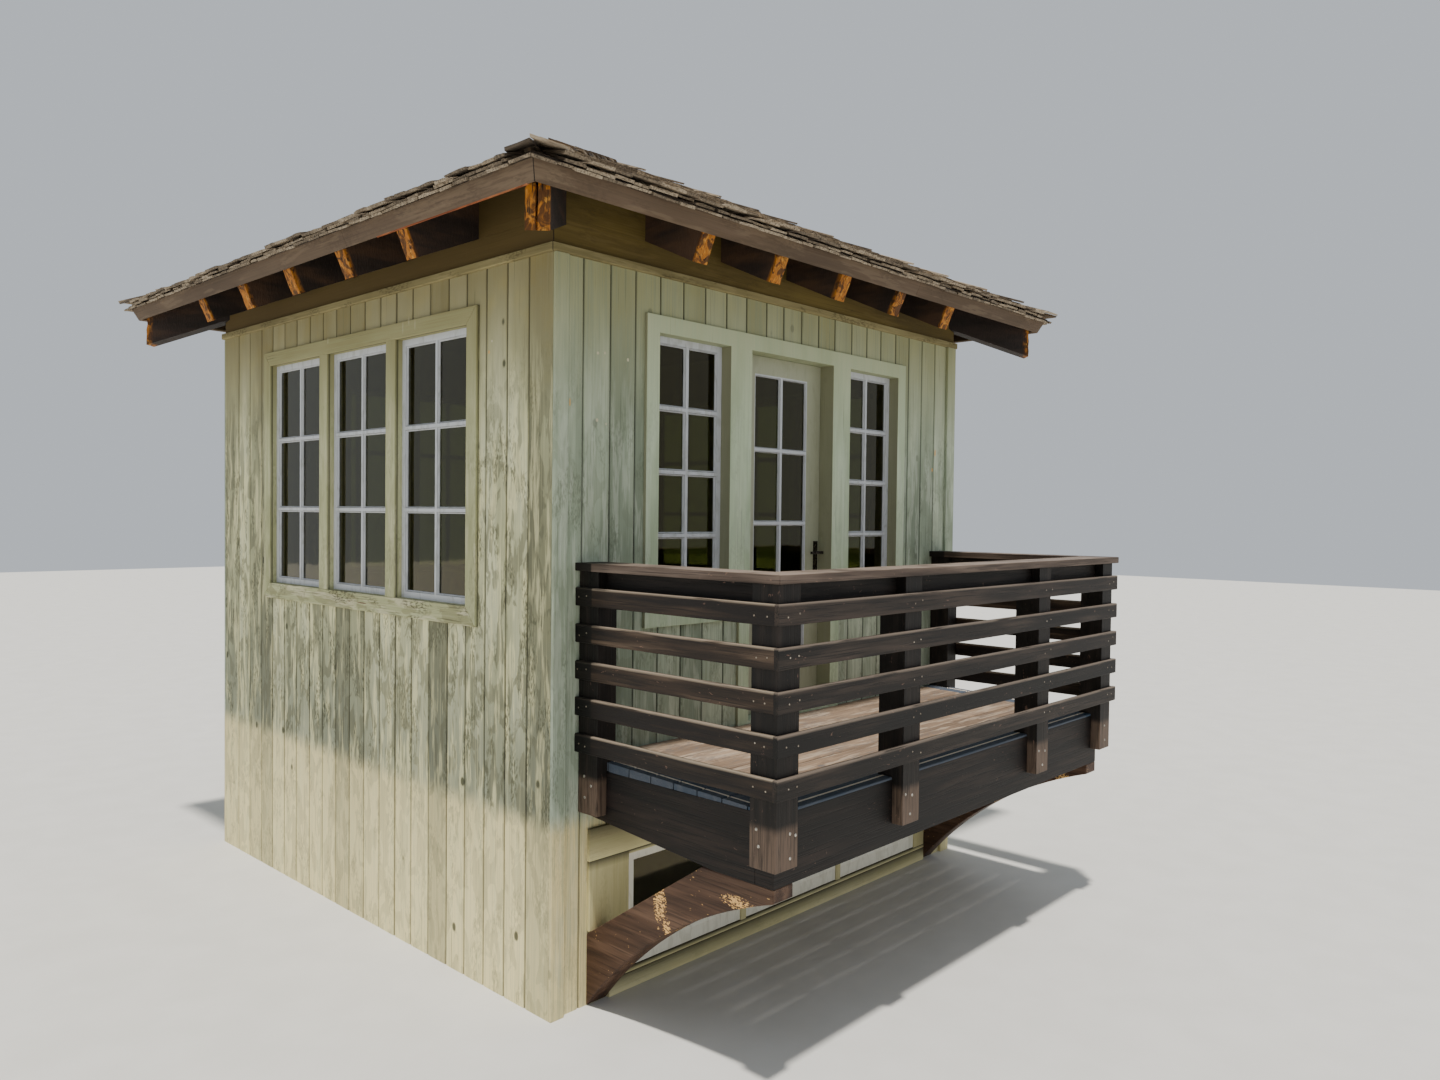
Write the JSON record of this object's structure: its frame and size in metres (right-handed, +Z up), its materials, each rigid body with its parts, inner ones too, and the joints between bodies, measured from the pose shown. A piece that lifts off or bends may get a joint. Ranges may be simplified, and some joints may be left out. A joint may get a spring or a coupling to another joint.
{
  "type": "roof cupola",
  "caption": "Square timber roof cupola with a hipped shake roof, triple windows, and a small railed balcony carried on arched knee braces in front of a glazed door.",
  "frame": {"origin": "on the ground line at Z=0, under the middle of the overall box, which is 0.37 m in front of the middle of the room", "axes": "+Z up, -Y out of the balcony front, +X to the right of somebody who looks at that front"},
  "size_m": [4.6716, 5.5968, 4.9329],
  "materials": {
    "siding": "weathered sage stain",
    "trim_paint": "weathered sage paint",
    "bare_timber": "unfinished softwood",
    "rafter_wood": "old brown stain",
    "fascia_wood": "grey-brown weathered stain",
    "shakes": "silvered split shakes",
    "sash_paint": "white-grey paint",
    "window_glass": "clear",
    "door_paint": "weathered sage paint",
    "bronze": "dark bronze patina",
    "decking": "worn brown boards",
    "dark_stain": "dark brown stain",
    "brown_stain": "peeling red-brown stain"
  },
  "bodies": {
    "root": {"front_wall": "siding", "back_wall": "siding", "left_wall": "siding", "right_wall": "siding", "corner_boards": "trim_paint", "wall_plates": "bare_timber", "frieze_boards": "siding", "eave_moulding": "trim_paint", "eave_blocking": "siding", "common_rafters": "rafter_wood", "hip_rafters": "rafter_wood", "peak_block": "rafter_wood", "roof_boards": "bare_timber", "fascia_boards": "fascia_wood", "front_shakes": "shakes", "back_shakes": "shakes", "left_shakes": "shakes", "right_shakes": "shakes", "hip_caps": "shakes", "front_casing": "trim_paint", "back_casing": "trim_paint", "left_casing": "trim_paint", "right_casing": "trim_paint", "sidelight_sashes": "sash_paint", "back_sashes": "sash_paint", "left_sashes": "sash_paint", "right_sashes": "sash_paint", "window_glass": "window_glass", "door_leaf": "door_paint", "door_handle": "bronze", "lower_casing": "trim_paint", "lower_sashes": "sash_paint", "floor_boards": "bare_timber", "floor_joists": "bare_timber", "deck_boards": "decking", "deck_joists": "dark_stain", "rim_beams": "dark_stain", "rail_posts": "dark_stain", "front_slats": "dark_stain", "side_slats": "dark_stain", "sub_rails": "dark_stain", "cap_rail": "dark_stain", "knee_braces": "brown_stain"}
  },
  "joints": []
}
